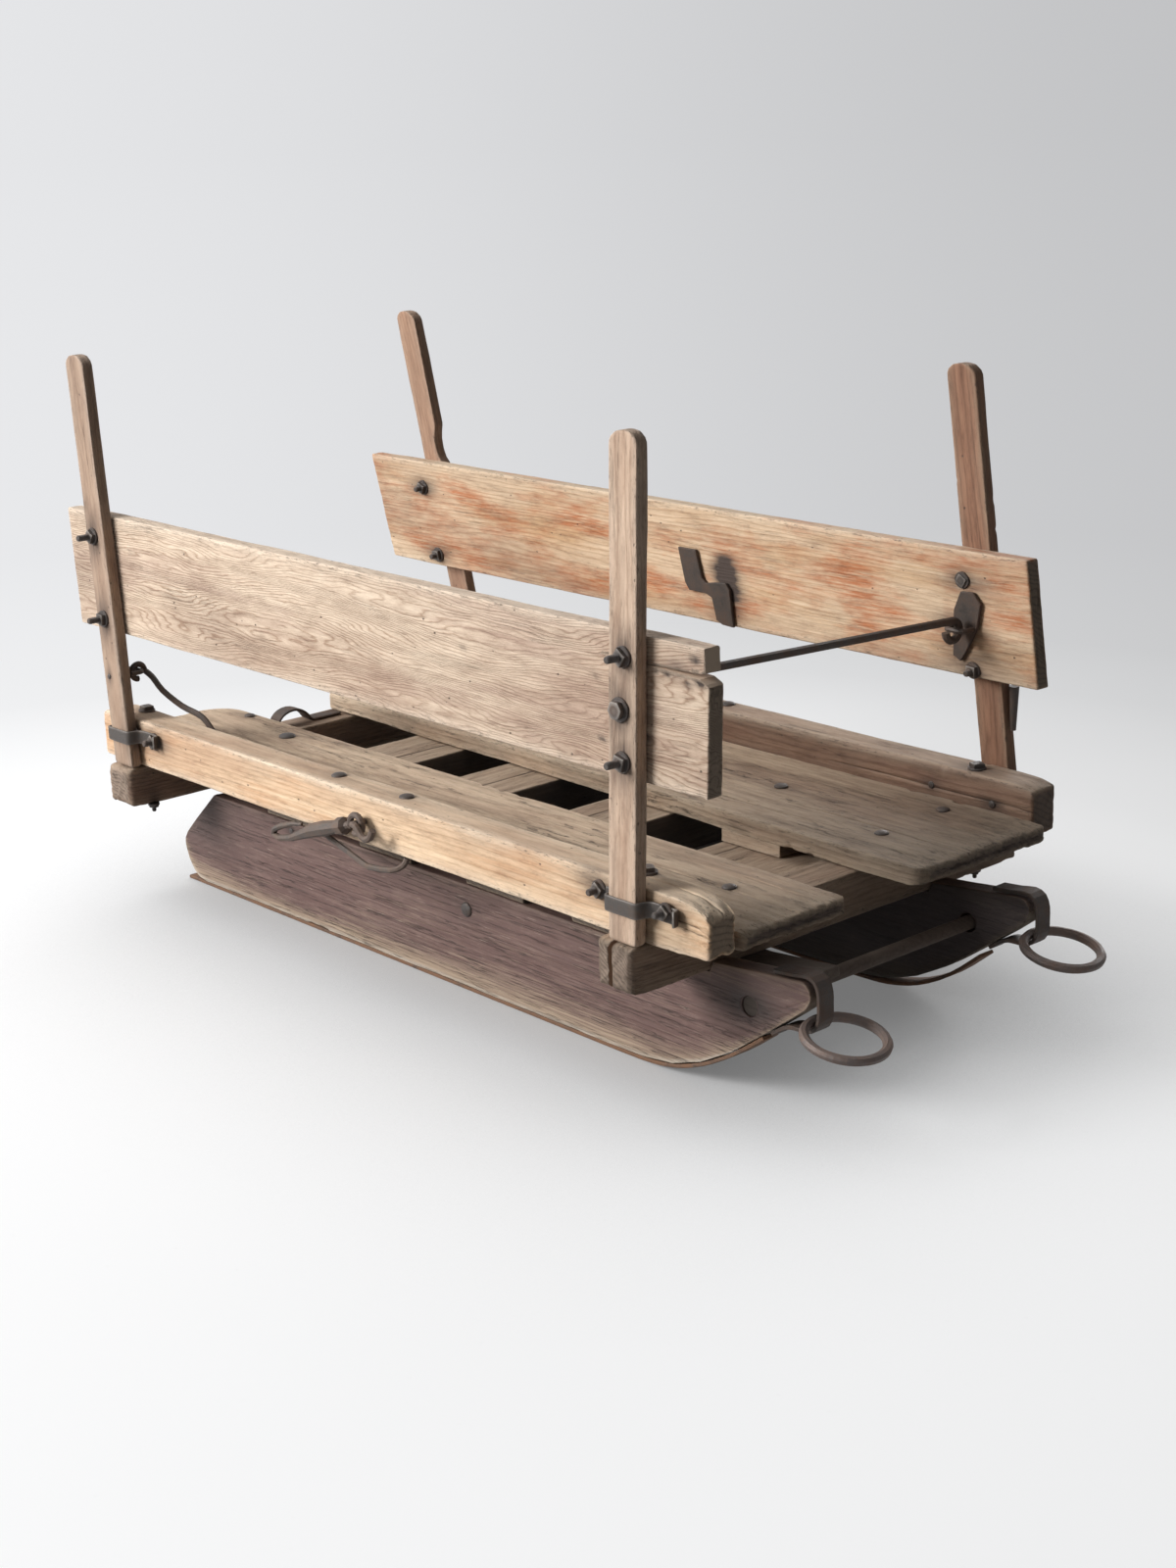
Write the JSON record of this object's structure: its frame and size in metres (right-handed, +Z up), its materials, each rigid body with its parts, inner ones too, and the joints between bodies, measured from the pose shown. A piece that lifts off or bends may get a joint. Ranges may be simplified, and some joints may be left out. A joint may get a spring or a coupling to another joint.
{
  "type": "wooden farm sled",
  "caption": "Low horse or goat drawn wooden farm sled with curved plank runners, cross bolsters, plank bed, leaning stakes, side boards and iron draw rings.",
  "frame": {"origin": "middle of the outer box on the floor, where the runner shoes stand", "axes": "+X forward, towards the draw rings; +Y to the sled's left; +Z up"},
  "size_m": [1.4982, 0.6985, 0.795],
  "materials": {
    "runner_wood": "old dark paint worn through to wood",
    "bolster_wood": "weathered",
    "deck_wood": "weathered",
    "rail_wood": "weathered, orange tan",
    "stake_wood": "weathered",
    "board_wood": "weathered with paint remains",
    "shoe_iron": "rusty flat bar",
    "strap_iron": "dark rusty flat bar",
    "forged_iron": "dark rusty forged bar"
  },
  "bodies": {
    "frame": {"runner_right": "runner_wood", "shoe_right": "shoe_iron", "nose_iron_right": "forged_iron", "draw_ring_right": "forged_iron", "rail_right": "rail_wood", "deck_plank_right": "deck_wood", "stake_right_front": "stake_wood", "strap_right_front": "strap_iron", "stake_right_rear": "stake_wood", "strap_right_rear": "strap_iron", "side_board_right": "board_wood", "runner_left": "runner_wood", "shoe_left": "shoe_iron", "nose_iron_left": "forged_iron", "draw_ring_left": "forged_iron", "rail_left": "rail_wood", "deck_plank_left": "deck_wood", "stake_left_front": "stake_wood", "strap_left_front": "strap_iron", "stake_left_rear": "stake_wood", "strap_left_rear": "strap_iron", "side_board_left": "board_wood", "bolster_front": "bolster_wood", "bolster_rear": "bolster_wood", "packing_block": "bolster_wood", "cross_rod": "bolster_wood", "nose_brace": "bolster_wood", "bearer_1": "bolster_wood", "bearer_2": "bolster_wood", "bearer_3": "bolster_wood", "bearer_4": "bolster_wood", "tie_plate": "forged_iron", "tie_eye_left": "forged_iron", "tie_staple_right": "forged_iron", "rear_eye_right": "forged_iron", "board_bracket": "forged_iron", "rail_hook": "forged_iron", "snap": "forged_iron", "bent_rod": "forged_iron", "bolster_keeper": "forged_iron", "stake_pin": "forged_iron"},
    "tie_rod": {"tie_rod": "forged_iron"},
    "rear_tie_rod": {"rear_tie_rod": "forged_iron"}
  },
  "joints": [
    {"name": "tie_rod_lift", "type": "hinge", "parent": "frame", "child": "tie_rod", "pos_m": [0.4644, 0.24926, 0.464], "axis": [-1, 0, 0], "range_deg": [0, 80]},
    {"name": "rear_tie_rod_lift", "type": "hinge", "parent": "frame", "child": "rear_tie_rod", "pos_m": [-0.5746, -0.30075, 0.342], "axis": [1, 0, 0], "range_deg": [0, 80]}
  ]
}
